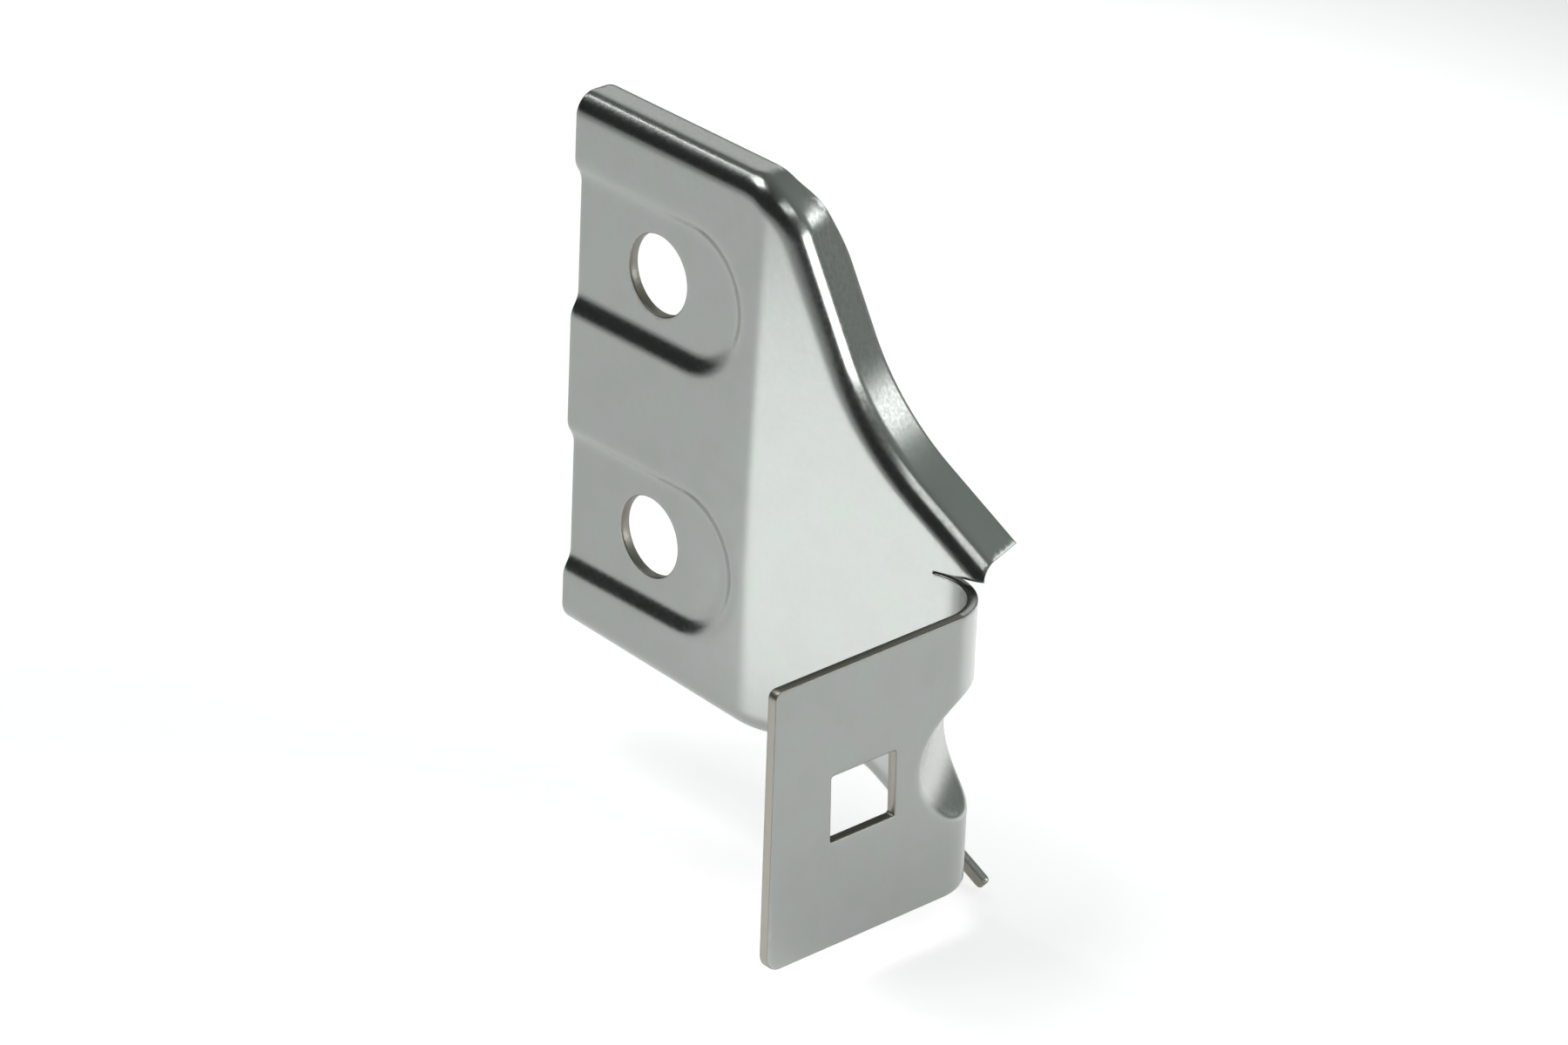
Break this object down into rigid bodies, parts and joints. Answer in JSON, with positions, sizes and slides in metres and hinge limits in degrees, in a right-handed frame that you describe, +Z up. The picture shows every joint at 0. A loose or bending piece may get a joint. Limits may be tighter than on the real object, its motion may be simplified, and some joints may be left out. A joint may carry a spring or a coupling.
{
  "type": "sheet metal bracket",
  "caption": "Pressed and folded zinc-plated steel bracket: a mounting plate with pressed pads, an angled web with turned-back edges, and a front flange with a rectangular hole.",
  "frame": {"origin": "midway between the two fixing holes, on the pads' back faces, where the member it is fixed to begins", "axes": "+X right along the mounting plate towards the fold, +Y back through the plate into the member, +Z up the plate from the lower hole to the upper"},
  "size_m": [0.0457, 0.0302, 0.0552],
  "materials": {
    "zinc_steel": "bright zinc plate, satin"
  },
  "bodies": {
    "root": {"bracket": "zinc_steel"}
  },
  "joints": []
}
